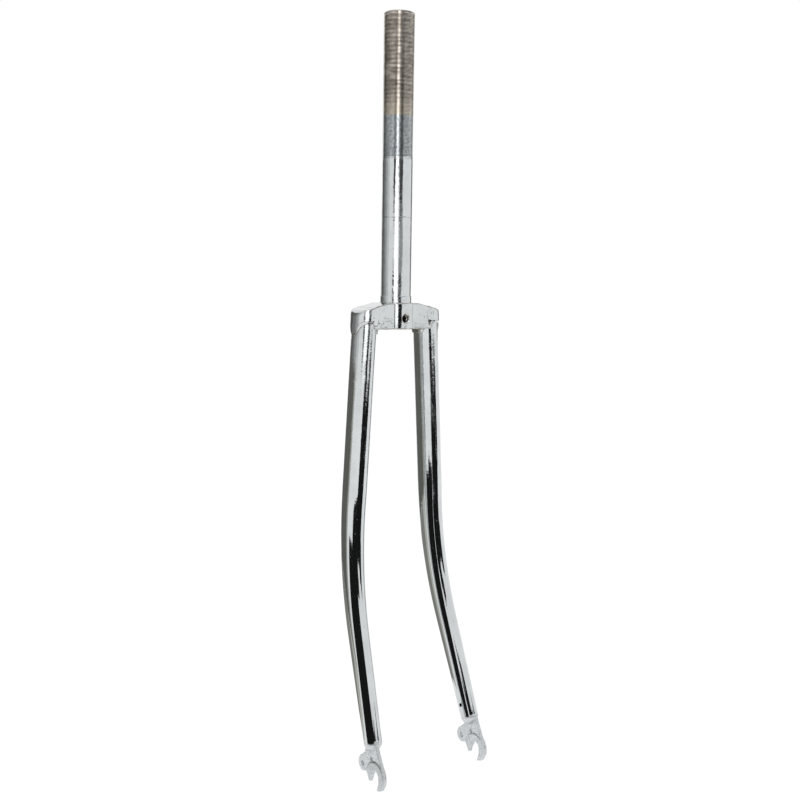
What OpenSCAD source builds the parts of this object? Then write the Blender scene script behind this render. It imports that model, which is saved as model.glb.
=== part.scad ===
// Rigid bicycle fork with a threaded steerer tube, a lugged semi-sloping crown,
// two tapered blades with a forward bend, and forged dropouts.
// The origin is on the steerer axis at the shoulder where the crown race rests.
// +X points forward, +Y to the rider's left and +Z up the steerer. Units are millimetres.

/* [Steerer tube] */
// Outside diameter of the steerer tube, over the thread crests
steerer_d = 25.4; // [22.2:0.1:28.6]
// Wall of the steerer tube where the stem slides in
steerer_wall = 1.6; // [1.2:0.1:2.2]
// Height of the steerer above the crown race shoulder
steerer_rise = 235.5; // [160:0.5:300]
// Length of the threaded top of the steerer, which is also the length of its keyway
thread_length = 117; // [30:1:130]
// Width of the groove where the thread runs out
runout_w = 1; // [0.8:0.1:2]
// Depth of that groove
runout_depth = 0.3; // [0.2:0.05:0.5]
// Bevel round the top rim of the steerer
steerer_bevel = 0.8; // [0.3:0.1:1]
// Extra wall at the foot of the steerer
butt_extra = 0.8; // [0.3:0.1:1.2]
// Height of the thick foot of the steerer above the crown race shoulder
butt_rise = 30; // [10:1:60]
// Length over which the thick foot thins out
butt_taper = 25; // [10:1:40]
// Width of the keyway along the back of the thread
keyway_w = 3; // [2:0.1:4]
// Depth of the keyway
keyway_depth = 0.9; // [0.5:0.1:1]

/* [Crown] */
// How far the crown race seat stands out from the steerer
seat_step = 0.5; // [0.4:0.05:0.9]
// Height of the crown race seat above its shoulder
seat_h = 5.7; // [3:0.1:8]
// Wall of the crown round the steerer
boss_wall = 2.7; // [2:0.1:3.5]
// Height of the crown from its underside to the race shoulder
crown_depth = 21.8; // [20:0.1:24]
// Distance between the blade centres at the height of the race shoulder
crown_spacing = 60.6; // [56:0.1:70]
// Half the depth of the arms between the steerer and the blades, front to back
arm_half = 12.2; // [10.5:0.1:12.8]
// Slope of the crown shoulders, in degrees
shoulder_slope = 14; // [8:0.5:18]
// Radius of the outer top corner of each shoulder
shoulder_r = 5; // [2:0.5:6]
// Wall of the blade sockets
lug_wall = 1.3; // [1:0.1:2]
// Solid metal over the end of each blade
socket_cap = 3.5; // [2:0.1:5]
// Depth of the socket edge below the race shoulder at the front and back of the blade
lug_peak = 17.3; // [16.5:0.1:19]
// How far the outer tongue of the socket reaches below that edge
outer_tongue = 10.6; // [6:0.1:14]
// How far the inner tongue of the socket reaches below that edge
inner_tongue = 8.2; // [6:0.1:12]
// Diameter of the brake bolt hole
brake_hole_d = 6.4; // [5.5:0.1:8]
// Depth of the brake bolt hole below the race shoulder
brake_hole_drop = 12.7; // [11:0.1:14]
// Bevel round the mouths of the brake bolt hole
brake_bevel = 0.5; // [0.2:0.1:0.8]

/* [Blades] */
// Front to back size of the oval at the top of the blade
blade_major = 24; // [22:0.1:28]
// Side to side size of the oval at the top of the blade
blade_minor = 19.6; // [17:0.1:21]
// Diameter of the round lower end of the blade
blade_tip_d = 15.4; // [13:0.1:17]
// Wall of the blade tube
blade_wall = 1.1; // [0.8:0.1:1.6]
// Distance down the blade from the race shoulder to the start of its taper
taper_start = 154; // [60:1:200]
// Radius of the forward bend, at the centre of the tube
bend_radius = 317; // [150:1:380]
// Angle between the lower end of the blade and the steerer, in degrees
tail_angle = 19.7; // [16:0.1:26]
// Length of the rounded end of the blade
dome_length = 7; // [4:0.1:9]
// Distance from the axle centre to the rounded end of the blade, along the blade
end_gap = 20.1; // [16:0.1:24]
// How far the line of the lower end of the blade passes ahead of the axle centre
tail_lead = 0.7; // [0:0.1:1.5]
// Diameter of the vent hole on the inner side of the blade
vent_d = 2.9; // [1.5:0.1:3.5]
// Distance of the vent hole above the axle centre, along the blade
vent_rise = 38; // [36:0.5:60]
// How far the vent hole sits ahead of the middle of the blade
vent_ahead = 1.3; // [0:0.1:2]

/* [Dropouts] */
// Clear width between the dropouts, where the hub sits
hub_width = 101; // [90:0.5:112]
// Distance from the race shoulder down to the axle centre
axle_drop = 381.3; // [340:0.1:420]
// Distance of the axle centre ahead of the steerer axis
rake = 56.4; // [40:0.1:65]
// Thickness of the dropout plate
dropout_t = 3.2; // [2.8:0.1:5]
// How far the pad for the wheel nut stands out from the plate
pad_step = 1.1; // [0.3:0.1:1.6]
// Radius of that pad, which leaves the tongue behind the slot free
pad_r = 11.6; // [9:0.1:11.9]
// Width of the axle slot
slot_w = 10.4; // [9:0.1:10.6]
// Depth of the straight front wall of the slot below the axle centre
slot_depth = 3.5; // [2:0.1:5]
// Backward lean of the mouth of the slot, in degrees
slot_lean = 16; // [10:1:20]
// Radius of the dropout round the axle centre
rim_r = 11.4; // [10.8:0.1:12]
// Depth of the hook tip below the axle centre, to the centre of its round end
hook_drop = 7.4; // [7:0.1:8.4]
// Distance of the hook tip centre ahead of the axle centre
hook_ahead = 6.2; // [5.8:0.1:6.8]
// Radius of the hook tip
hook_r = 2.4; // [1.8:0.1:2.8]
// Distance of the tongue tip centre behind the axle centre
tongue_back = 8.2; // [7.8:0.1:8.8]
// Depth of the tongue tip centre below the axle centre
tongue_drop = 5.1; // [4.5:0.1:6]
// Radius of the tongue tip
tongue_r = 1.7; // [1.4:0.1:2]
// Distance of the mudguard eyelet behind the axle centre
eyelet_back = 18.7; // [18:0.1:20]
// Height of the mudguard eyelet above the axle centre
eyelet_up = 4.9; // [4:0.1:6]
// Core diameter of the threaded mudguard eyelet
eyelet_d = 4.2; // [3.3:0.1:5]
// Radius of the lobe round the eyelet
lobe_r = 6.4; // [5.4:0.1:7]
// Diameter of the small hole for the safety washer tab
tab_hole_d = 3.4; // [2.5:0.1:4]
// Distance of that hole from the axle centre
tab_hole_reach = 14; // [13.2:0.1:14.6]
// Length of dropout held in the slotted end of the blade, counted from the rounded end
tab_depth = 12; // [9:0.5:14]

/* [Clearances] */
// Brazing gap between pieces that slide into each other
braze_gap = 0.06; // [0.04:0.01:0.1]

/* [Hidden] */
$fn = 96;

// Overrun of every cut past the face that it opens
over = steerer_wall;
RIGHT = -1;
LEFT = 1;

// Steerer and crown
steerer_r = steerer_d / 2;
bore_r = steerer_r - steerer_wall;
foot_bore_r = bore_r - butt_extra;
seat_r = steerer_r + seat_step;
boss_r = steerer_r + boss_wall;
crown_bore_r = steerer_r + braze_gap;

// Side view of a blade: a straight run, an arc of the bend and a straight tail through the axle
plate_mid = hub_width / 2 + dropout_t / 2;
splay = atan((plate_mid - crown_spacing / 2) / axle_drop);
axle_run = axle_drop / cos(splay);
tail_reach = rake + tail_lead / cos(tail_angle);
bend_start = axle_run - tail_reach / tan(tail_angle) - bend_radius * tan(tail_angle / 2);
bend_length = bend_radius * tail_angle * PI / 180;
bend_end_x = bend_radius * (1 - cos(tail_angle));
bend_end_run = bend_start + bend_radius * sin(tail_angle);
tail_length = (axle_run - bend_end_run) / cos(tail_angle);
blade_end = bend_start + bend_length + tail_length - tail_lead * tan(tail_angle) - end_gap;
dome_start = blade_end - dome_length;
tip_r = blade_tip_d / 2;

// Sockets of the crown
socket_a = blade_major / 2 + braze_gap;
socket_b = blade_minor / 2 + braze_gap;
lug_a = socket_a + lug_wall;
lug_b = socket_b + lug_wall;
lug_out = crown_spacing / 2 + lug_b / cos(splay);
socket_top = (lug_out - boss_r) * tan(shoulder_slope) + socket_cap;
outer_tip = lug_peak + outer_tongue;
inner_tip = lug_peak + inner_tongue;
arm_reach = crown_spacing / 2 + crown_depth * tan(splay) - lug_b * sqrt(1 - pow(arm_half / lug_a, 2));

// Shape of the socket edge: sharpness of the outer tongue, and the flat share of the inner one
OUTER_POWER_SHARE = 1.2;
INNER_FLAT_SHARE = 0.45;
EDGE_STEPS = 12;

// Sides of the oval sockets and of the blades
OVAL_SIDES = 80;
SIDES = 40;
BEND_STEPS = 18;
DOME_STEPS = 5;

// Places on the dropout where its outline turns, as shares of the sizes that they follow
FRONT_RISE_SHARE = 1.22;
NECK_RISE_SHARE = 0.78;
NECK_BACK_SHARE = 0.86;
CROTCH_BACK_SHARE = 0.7;
CROTCH_DROP_SHARE = 0.1;
TAB_HOLE_LEAN = 25.5;

// Share of an arc's radius at which the straight edges beside it run, so that they cross the arc
TUCK_SHARE = 0.99;

// Helpers

// A point on a circle, with the angle counted from +X
function polar(c, r, a) = [c[0] + r * cos(a), c[1] + r * sin(a)];

// Where a line from point p runs into a circle: turn is 1 or -1 for the two sides
function touch(p, c, r, turn) =
    let (
        d = c - p,
        in_r = r * TUCK_SHARE,
        away = atan2(-d[1], -d[0]),
        open = acos(in_r / norm(d))
    )
    polar(c, in_r, away + turn * open);

// Corners of the band that joins two circles along their outer sides
function band(c1, r1, c2, r2) =
    let (
        d = c2 - c1,
        in_r1 = r1 * TUCK_SHARE,
        in_r2 = r2 * TUCK_SHARE,
        along = atan2(d[1], d[0]),
        open = acos((in_r1 - in_r2) / norm(d))
    )
    [
        polar(c1, in_r1, along + open),
        polar(c2, in_r2, along + open),
        polar(c2, in_r2, along - open),
        polar(c1, in_r1, along - open)
    ];

// Centre line of a blade at arc length s: [forward, down the splayed plane, tilt]
function path(s) =
    s <= bend_start ? [0, s, 0]
    : s <= bend_start + bend_length
        ? let (a = (s - bend_start) / bend_radius * 180 / PI)
          [bend_radius * (1 - cos(a)), bend_start + bend_radius * sin(a), a]
        : let (t = s - bend_start - bend_length)
          [bend_end_x + t * sin(tail_angle), bend_end_run + t * cos(tail_angle), tail_angle];

// Half sizes of the blade oval at arc length s, which end in a dome
function taper(s) = max(0, min(1, (s - taper_start) / (dome_start - taper_start)));
function oval(s) = [
    blade_major / 2 + (tip_r - blade_major / 2) * taper(s),
    blade_minor / 2 + (tip_r - blade_minor / 2) * taper(s)
];

// One ring of points round the blade, in the frame of the blade's own plane
function ring(s, a, b) =
    let (p = path(s))
    [
        for (i = [0 : SIDES - 1])
            let (t = 360 * i / SIDES)
            [
                p[0] + a * cos(t) * cos(p[2]),
                b * sin(t),
                -p[1] + a * cos(t) * sin(p[2])
            ]
    ];

// Stations along the blade where its form changes
function stations() = [
    socket_top,
    outer_tip,
    taper_start,
    for (i = [0 : BEND_STEPS])
        if (bend_start + bend_length * i / BEND_STEPS > taper_start)
            bend_start + bend_length * i / BEND_STEPS,
    dome_start
];

// Depth of the socket edge at a distance x from the middle of a tongue
function outer_edge(x) = outer_tongue * pow((1 + cos(180 * min(1, abs(x) / lug_a))) / 2, OUTER_POWER_SHARE);
function inner_edge(x) =
    let (t = min(1, max(0, (lug_a - abs(x)) / (lug_a * (1 - INNER_FLAT_SHARE)))))
    inner_tongue * t * t * (3 - 2 * t);

// Places a child drawn down its own axis onto the centre line of one blade
module on_blade(side) {
    translate([0, side * crown_spacing / 2, 0])
        rotate([side * splay, 0, 0])
            children();
}

// Oval bar down the axis of one blade, from the depth top to the depth bottom
module oval_bar(a, b, top, bottom) {
    translate([0, 0, -bottom])
        linear_extrude(height = bottom - top)
            polygon([for (i = [0 : OVAL_SIDES - 1]) let (t = 360 * i / OVAL_SIDES) [a * cos(t), b * sin(t)]]);
}

// Hole along X through the crown and the steerer for the brake bolt
module brake_hole() {
    translate([-boss_r - over, 0, -brake_hole_drop])
        rotate([0, 90, 0])
            cylinder(d = brake_hole_d, h = 2 * (boss_r + over));
}

// Moves a child drawn round the axle centre, in forward and up, onto one dropout
// The child is extruded outward from the hub face
module on_dropout(side, from, thick) {
    translate([rake, side * (hub_width / 2 + from) + (side == RIGHT ? 0 : thick), -axle_drop])
        rotate([90, 0, 0])
            linear_extrude(height = thick)
                children();
}

// Steerer tube
module steerer_tube() {
    top = steerer_rise;
    foot = -crown_depth;
    thread_foot = top - thread_length;
    color([0.78, 0.79, 0.80])
        difference() {
            rotate_extrude()
                polygon([
                    [foot_bore_r, foot],
                    [steerer_r, foot],
                    [steerer_r, thread_foot - runout_w],
                    [steerer_r - runout_depth, thread_foot - runout_w],
                    [steerer_r - runout_depth, thread_foot],
                    [steerer_r, thread_foot],
                    [steerer_r, top - steerer_bevel],
                    [steerer_r - steerer_bevel, top],
                    [bore_r, top],
                    [bore_r, butt_rise + butt_taper],
                    [foot_bore_r, butt_rise]
                ]);
            brake_hole();
            translate([-steerer_r - over, -keyway_w / 2, thread_foot])
                cube([over + keyway_depth, keyway_w, thread_length + over]);
        }
}

// Front view of one half of the crown, which gives the shoulders their slope and corner
module shoulder_view() {
    a = shoulder_slope;
    n1 = [sin(a), cos(a)];
    n2 = [cos(splay), sin(splay)];
    k1 = n1 * [boss_r, 0] - shoulder_r;
    k2 = n2 * [lug_out, 0] - shoulder_r;
    det = n1[0] * n2[1] - n1[1] * n2[0];
    c = [(k1 * n2[1] - k2 * n1[1]) / det, (n1[0] * k2 - n2[0] * k1) / det];
    low = -outer_tip - over;
    difference() {
        union() {
            polygon([
                [0, 0],
                [boss_r, 0],
                c + shoulder_r * n1,
                c,
                c + shoulder_r * n2,
                [lug_out - low * tan(splay), low],
                [0, low]
            ]);
            translate(c) circle(r = shoulder_r);
        }
        translate([-lug_out, -lug_out]) square([lug_out, 2 * lug_out]);
    }
}

// Side view of one socket down to its scalloped edge: outer selects the tongue that faces outward
module socket_view(outer) {
    reach = lug_a + over;
    polygon([
        [-reach, 0],
        [-reach, -lug_peak],
        for (i = [-EDGE_STEPS : EDGE_STEPS])
            let (x = lug_a * i / EDGE_STEPS)
            [x, -lug_peak - (outer ? outer_edge(x) : inner_edge(x))],
        [reach, -lug_peak],
        [reach, 0]
    ]);
}

// One blade socket, before it is hollowed
module socket_shell(side) {
    on_blade(side)
        intersection() {
            oval_bar(lug_a, lug_b, -over, outer_tip + over);
            union() {
                translate([0, side == LEFT ? lug_b + over : 0, 0])
                    rotate([90, 0, 0])
                        linear_extrude(height = lug_b + over)
                            socket_view(true);
                translate([0, side == LEFT ? 0 : lug_b + over, 0])
                    rotate([90, 0, 0])
                        linear_extrude(height = lug_b + over)
                            socket_view(false);
            }
        }
}

// Fork crown: a boss round the steerer, two arms and two scalloped blade sockets
module fork_crown() {
    color([0.74, 0.76, 0.78])
        difference() {
            union() {
                cylinder(r = seat_r, h = seat_h);
                translate([0, 0, -crown_depth]) cylinder(r = boss_r, h = crown_depth);
                intersection() {
                    union() {
                        translate([-arm_half, -arm_reach, -crown_depth])
                            cube([2 * arm_half, 2 * arm_reach, crown_depth]);
                        socket_shell(RIGHT);
                        socket_shell(LEFT);
                    }
                    rotate([90, 0, 90])
                        translate([0, 0, -lug_a - over])
                            linear_extrude(height = 2 * (lug_a + over)) {
                                shoulder_view();
                                mirror([1, 0]) shoulder_view();
                            }
                }
            }
            translate([0, 0, -crown_depth - over])
                cylinder(r = crown_bore_r, h = crown_depth + seat_h + 2 * over);
            for (side = [RIGHT, LEFT])
                on_blade(side) oval_bar(socket_a, socket_b, socket_top, outer_tip + over);
            brake_hole();
            for (turn = [0, 180])
                rotate([0, 0, turn])
                    translate([boss_r - brake_bevel, 0, -brake_hole_drop])
                        rotate([0, 90, 0])
                            cylinder(d1 = brake_hole_d, d2 = brake_hole_d + 4 * brake_bevel, h = 2 * brake_bevel);
        }
}

// Blade tube: an oval at the crown that tapers to a round end, bent forward and closed by a dome
module blade_tube() {
    st = stations();
    outer = concat(
        [for (s = st) ring(s, oval(s)[0], oval(s)[1])],
        [
            for (i = [1 : DOME_STEPS])
                let (a = 90 * i / (DOME_STEPS + 1), r = tip_r * cos(a))
                ring(dome_start + dome_length * sin(a), r, r)
        ]
    );
    inner_r = tip_r - blade_wall;
    inner = concat(
        [for (s = st) ring(s, oval(s)[0] - blade_wall, oval(s)[1] - blade_wall)],
        [
            for (i = [1 : DOME_STEPS])
                let (a = 90 * i / (DOME_STEPS + 1), r = inner_r * cos(a))
                ring(dome_start + (dome_length - blade_wall) * sin(a), r, r)
        ]
    );
    rows = len(outer);
    n = SIDES;
    tip = path(blade_end);
    inner_tip_point = path(blade_end - blade_wall);
    points = concat(
        [for (r = outer) each r],
        [for (r = inner) each r],
        [[tip[0], 0, -tip[1]], [inner_tip_point[0], 0, -inner_tip_point[1]]]
    );
    first_inner = rows * n;
    faces = concat(
        [
            for (k = [0 : rows - 2], i = [0 : n - 1])
                let (j = (i + 1) % n)
                [k * n + i, k * n + j, (k + 1) * n + j, (k + 1) * n + i]
        ],
        [
            for (k = [0 : rows - 2], i = [0 : n - 1])
                let (j = (i + 1) % n, f = first_inner)
                [f + k * n + i, f + (k + 1) * n + i, f + (k + 1) * n + j, f + k * n + j]
        ],
        [
            for (i = [0 : n - 1])
                let (j = (i + 1) % n)
                [i, first_inner + i, first_inner + j, j]
        ],
        [
            for (i = [0 : n - 1])
                let (j = (i + 1) % n)
                [(rows - 1) * n + i, (rows - 1) * n + j, 2 * rows * n]
        ],
        [
            for (i = [0 : n - 1])
                let (j = (i + 1) % n, f = first_inner)
                [f + (rows - 1) * n + j, f + (rows - 1) * n + i, 2 * rows * n + 1]
        ]
    );
    polyhedron(points = points, faces = faces, convexity = 10);
}

// One blade, slotted for its dropout and vented on its inner side
module blade(side) {
    slot_x = tip_r + over;
    color([0.76, 0.78, 0.80])
        difference() {
            on_blade(side) blade_tube();
            translate([rake, side * plate_mid, -axle_drop])
                rotate([0, -tail_angle, 0])
                    translate([tail_lead - slot_x, -dropout_t / 2 - braze_gap, 0])
                        cube([2 * slot_x, dropout_t + 2 * braze_gap, end_gap + tab_depth + braze_gap]);
            on_blade(side)
                translate([rake, 0, -axle_run])
                    rotate([0, -tail_angle, 0])
                        translate([tail_lead + vent_ahead, 0, vent_rise])
                            rotate([side * 90, 0, 0])
                                cylinder(d = vent_d, h = tip_r + over + blade_major / 2);
        }
}

module right_blade() {
    blade(RIGHT);
}

module left_blade() {
    blade(LEFT);
}

// Flat outline of a dropout round its axle centre, in forward and up
module dropout_outline() {
    eyelet = [-eyelet_back, eyelet_up];
    tongue = [-tongue_back, -tongue_drop];
    hook = [hook_ahead, -hook_drop];
    up = [-sin(tail_angle), cos(tail_angle)];
    ahead = [cos(tail_angle), sin(tail_angle)];
    half = tip_r - braze_gap;
    top = end_gap + tab_depth;
    front_edge = ahead * (tail_lead + half);
    back_edge = ahead * (tail_lead - half);
    front = up * end_gap * FRONT_RISE_SHARE + front_edge;
    back = up * end_gap * FRONT_RISE_SHARE + back_edge;
    neck = [-eyelet_back * NECK_BACK_SHARE, end_gap * NECK_RISE_SHARE];
    crotch = [-eyelet_back * CROTCH_BACK_SHARE, -tongue_drop * CROTCH_DROP_SHARE];
    difference() {
        union() {
            polygon([up * top + front_edge, front, [0, 0], back, up * top + back_edge]);
            polygon([
                front,
                touch(front, [0, 0], rim_r, -1),
                [0, 0],
                tongue,
                touch(crotch, tongue, tongue_r, 1),
                crotch,
                eyelet,
                touch(neck, eyelet, lobe_r, 1),
                neck,
                back
            ]);
            translate(eyelet) circle(r = lobe_r);
            translate(tongue) circle(r = tongue_r);
            intersection() {
                circle(r = rim_r);
                translate([0, -rim_r]) square([rim_r, 2 * rim_r]);
            }
            translate(hook) circle(r = hook_r);
            polygon(band([0, 0], rim_r, hook, hook_r));
        }
        axle_slot();
    }
}

// Slot for the wheel axle, which widens into a mouth that leans backward
module axle_slot() {
    half = TUCK_SHARE * slot_w / 2;
    circle(d = slot_w);
    translate([0, -slot_depth]) square([half, slot_depth]);
    translate([0, -slot_depth]) circle(d = slot_w);
    for (drop = [0, slot_depth])
        translate([0, -drop])
            rotate(-slot_lean)
                translate([-half, -2 * rim_r])
                    square([2 * half, 2 * rim_r]);
}

// One dropout: the plate, the pad for the wheel nut, the eyelet and the washer tab hole
module dropout(side) {
    color([0.80, 0.81, 0.84])
        difference() {
            union() {
                on_dropout(side, 0, dropout_t) dropout_outline();
                on_dropout(side, 0, dropout_t + pad_step)
                    intersection() {
                        dropout_outline();
                        difference() {
                            circle(r = pad_r);
                            translate([-pad_r - over, -pad_r - over]) square(pad_r + over);
                        }
                    }
            }
            on_dropout(side, -over, dropout_t + 2 * over) {
                translate([-eyelet_back, eyelet_up]) circle(d = eyelet_d);
                translate(polar([0, 0], tab_hole_reach, 90 + TAB_HOLE_LEAN)) circle(d = tab_hole_d);
            }
        }
}

module right_dropout() {
    dropout(RIGHT);
}

module left_dropout() {
    dropout(LEFT);
}

steerer_tube();
fork_crown();
right_blade();
left_blade();
right_dropout();
left_dropout();
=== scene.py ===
# %% [markdown]
# # A chrome-plated bicycle fork
# Everything here is made in that model's own place, in metres, with +X forward,
# +Y to the rider's left and +Z up the steerer axis.

# %% Load the fixed frame
import math

import bpy
import numpy as np
from mathutils import Matrix, Vector


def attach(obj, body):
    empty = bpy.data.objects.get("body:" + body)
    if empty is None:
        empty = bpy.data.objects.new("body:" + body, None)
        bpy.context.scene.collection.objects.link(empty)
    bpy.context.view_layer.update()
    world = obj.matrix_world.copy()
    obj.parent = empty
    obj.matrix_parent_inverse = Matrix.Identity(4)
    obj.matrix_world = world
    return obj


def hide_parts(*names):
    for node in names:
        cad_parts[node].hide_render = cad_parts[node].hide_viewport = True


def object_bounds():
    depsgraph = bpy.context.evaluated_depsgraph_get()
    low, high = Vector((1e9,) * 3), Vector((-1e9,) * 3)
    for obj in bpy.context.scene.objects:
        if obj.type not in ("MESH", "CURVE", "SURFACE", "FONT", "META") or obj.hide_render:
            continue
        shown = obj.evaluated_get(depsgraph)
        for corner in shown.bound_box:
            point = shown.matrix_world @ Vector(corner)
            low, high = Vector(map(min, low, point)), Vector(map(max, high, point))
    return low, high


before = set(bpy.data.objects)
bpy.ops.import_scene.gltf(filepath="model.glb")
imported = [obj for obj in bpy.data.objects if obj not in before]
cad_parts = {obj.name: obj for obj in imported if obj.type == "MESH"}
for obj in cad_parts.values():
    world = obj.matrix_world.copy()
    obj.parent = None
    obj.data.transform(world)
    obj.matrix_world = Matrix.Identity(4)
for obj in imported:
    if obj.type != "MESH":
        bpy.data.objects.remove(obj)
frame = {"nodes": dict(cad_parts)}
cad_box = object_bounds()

MM = 0.001
print("nodes of the frame:", ", ".join(frame["nodes"]))

# %% [markdown]
# ## Sizes
# The fork is drawn in millimetres, because its real drawing is, and turned into
# metres only when a mesh is made. The sizes below are those of the exact model,
# so each piece lands on the solid that it stands for.

# %% Sizes of the fork in millimetres
STEERER_R, BORE_R, FOOT_BORE_R = 12.7, 11.1, 10.3
STEERER_TOP, THREAD_LENGTH = 235.5, 117.0
THREAD_FOOT = STEERER_TOP - THREAD_LENGTH
RUNOUT_W, RUNOUT_DEPTH = 1.0, 0.3
KEYWAY_W, KEYWAY_DEPTH = 3.0, 0.9
RIM_BEVEL = 0.8
BUTT_RISE, BUTT_TAPER = 30.0, 25.0

SEAT_R, SEAT_H, BOSS_R, CROWN_DEPTH = 13.2, 5.7, 15.4, 21.8
SPACING, ARM_HALF = 60.6, 12.2
SHOULDER_SLOPE, SHOULDER_R = math.radians(14), 5.0
LUG_WALL, SOCKET_CAP, LUG_PEAK = 1.3, 3.5, 17.3
OUTER_TONGUE, INNER_TONGUE = 10.6, 8.2
BRAKE_R, BRAKE_DROP, BRAKE_BEVEL = 3.2, 12.7, 0.5

BLADE_A, BLADE_B, TIP_R, BLADE_WALL = 12.0, 9.8, 7.7, 1.1
TAPER_START, BEND_R, TAIL = 154.0, 317.0, math.radians(19.7)
DOME_LENGTH, END_GAP, TAIL_LEAD = 7.0, 20.1, 0.7
VENT_R, VENT_RISE, VENT_AHEAD = 1.45, 38.0, 1.3

HUB_HALF, PLATE_T, AXLE_DROP, RAKE = 50.5, 3.2, 381.3, 56.4
PAD_STEP, PAD_R, SLOT_W, SLOT_DEPTH = 1.1, 11.6, 10.4, 3.5
SLOT_LEAN, RIM_R = math.radians(16), 11.4
HOOK, HOOK_R, TONGUE, TONGUE_R = (6.2, -7.4), 2.4, (-8.2, -5.1), 1.7
EYELET, EYELET_R, LOBE_R = (-18.7, 4.9), 2.1, 6.4
TAB_HOLE_R, TAB_HOLE_REACH, TAB_HOLE_LEAN, TAB_DEPTH = 1.7, 14.0, math.radians(25.5), 12.0
GAP = 0.06
RIGHT, LEFT = -1, 1

# %% [markdown]
# The centre line of a blade is a straight run, an arc and a straight tail that
# meet without a corner. Where they meet follows from where the axle has to be,
# in the blade's own plane, which leans outward by the splay.

# %% Line of a blade in its own splayed plane
SPLAY = math.atan((HUB_HALF + PLATE_T / 2 - SPACING / 2) / AXLE_DROP)
AXLE_RUN = AXLE_DROP / math.cos(SPLAY)
TAIL_REACH = RAKE + TAIL_LEAD / math.cos(TAIL)
BEND_START = AXLE_RUN - TAIL_REACH / math.tan(TAIL) - BEND_R * math.tan(TAIL / 2)
BEND_LENGTH = BEND_R * TAIL
BEND_END_RUN = BEND_START + BEND_R * math.sin(TAIL)
TAIL_LENGTH = (AXLE_RUN - BEND_END_RUN) / math.cos(TAIL)
BLADE_END = BEND_START + BEND_LENGTH + TAIL_LENGTH - TAIL_LEAD * math.tan(TAIL) - END_GAP
DOME_START = BLADE_END - DOME_LENGTH

SOCKET_A, SOCKET_B = BLADE_A + GAP, BLADE_B + GAP
LUG_A, LUG_B = SOCKET_A + LUG_WALL, SOCKET_B + LUG_WALL
LUG_OUT = SPACING / 2 + LUG_B / math.cos(SPLAY)
SOCKET_TOP = (LUG_OUT - BOSS_R) * math.tan(SHOULDER_SLOPE) + SOCKET_CAP
print(f"splay {math.degrees(SPLAY):.2f} degrees, bend starts {BEND_START:.1f} mm down the blade")


# %% [markdown]
# ## Skins over distance functions
# The crown and the dropouts of a fork are forged or cast: lumps that flow into
# each other with soft corners. Such a form is hard to bevel edge by edge. Here
# it is written as a distance function instead, which is negative in the metal
# and positive in the air, and a net of small quads is pulled over the zero
# level. Two such functions can be joined or cut with a true round fillet.

# %% Joining and cutting distances with a round edge
def cut(a, b, r):
    """What lies in both a and b, with the edge between them rounded to radius r."""
    inside = np.minimum(np.maximum(a + r, b + r), 0)
    return inside + np.hypot(np.maximum(a + r, 0), np.maximum(b + r, 0)) - r


def join(a, b, r):
    """What lies in a or b, with a fillet of radius r in the corner between them."""
    return -cut(-a, -b, r)


print(f"a square corner rounded to 1 mm loses {float(cut(0.0, 0.0, 1.0)):.2f} mm")


# %% Slope and bend of a distance function
def slope_of(distance, p, h=0.01):
    """Direction in which a distance grows fastest, at each point."""
    return np.stack([(distance(p + step) - distance(p - step)) / (2 * h) for step in h * np.eye(3)], -1)


def bend_of(distance, p, h=0.4):
    """How sharply the skin bends at each point: positive on an edge, negative in a crease."""
    bend = -6 * distance(p)
    for step in h * np.eye(3):
        bend += distance(p + step) + distance(p - step)
    return bend / h ** 2


# %% Pulling a net of quads over the zero level
CELLS_ROUND_EDGE = ((0, 0), (-1, 0), (-1, -1), (0, -1))


def net(distance, low, high, cell):
    """Corners, quads and normals of the surface where the distance is zero."""
    count = [int(math.ceil((h - l) / cell)) + 1 for l, h in zip(low, high)]
    axes = [l + cell * np.arange(n) for l, n in zip(low, count)]
    grid = np.stack(np.meshgrid(*axes, indexing="ij"), -1)
    value = np.concatenate([distance(slab.reshape(-1, 3)) for slab in grid]).reshape(count)

    total = np.zeros([n - 1 for n in count] + [3])
    hits = np.zeros([n - 1 for n in count])
    crossings = []
    for k in range(3):
        a, b = np.delete(value, -1, k), np.delete(value, 0, k)
        crossed = (a < 0) != (b < 0)
        index = np.argwhere(crossed)
        a, b = a[crossed], b[crossed]
        at = index.astype(float)
        at[:, k] += a / (a - b)
        cells = []
        for shift in CELLS_ROUND_EDGE:
            c = index.copy()
            c[:, [j for j in range(3) if j != k]] += shift
            cells.append(c)
            good = np.all((c >= 0) & (c < np.array(hits.shape)), axis=1)
            np.add.at(total, tuple(c[good].T), at[good])
            np.add.at(hits, tuple(c[good].T), 1)
        crossings.append((k, cells, a < 0))

    used = hits > 0
    number = np.full(hits.shape, -1)
    number[used] = np.arange(used.sum())
    corners = np.array(low) + cell * total[used] / hits[used][:, None]

    quads = []
    for k, cells, leaving in crossings:
        ring = np.stack([number[tuple(c.T)] for c in cells], 1)
        turned = leaving if k != 1 else ~leaving
        quads.append(np.where(turned[:, None], ring, ring[:, ::-1]))
    quads = np.concatenate(quads)

    for _ in range(4):
        grad = slope_of(distance, corners)
        size = np.maximum((grad ** 2).sum(1), 0.25)
        move = distance(corners) / size
        corners -= np.clip(move, -cell, cell)[:, None] * grad
    normals = slope_of(distance, corners)
    normals /= np.maximum(np.linalg.norm(normals, axis=1, keepdims=True), 1e-6)
    return corners, quads, normals


# %% Turning corners and faces into an object
def add_object(name, data):
    """Puts a mesh or a camera into the scene."""
    made = bpy.data.objects.new(name, data)
    bpy.context.scene.collection.objects.link(made)
    return made


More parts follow.
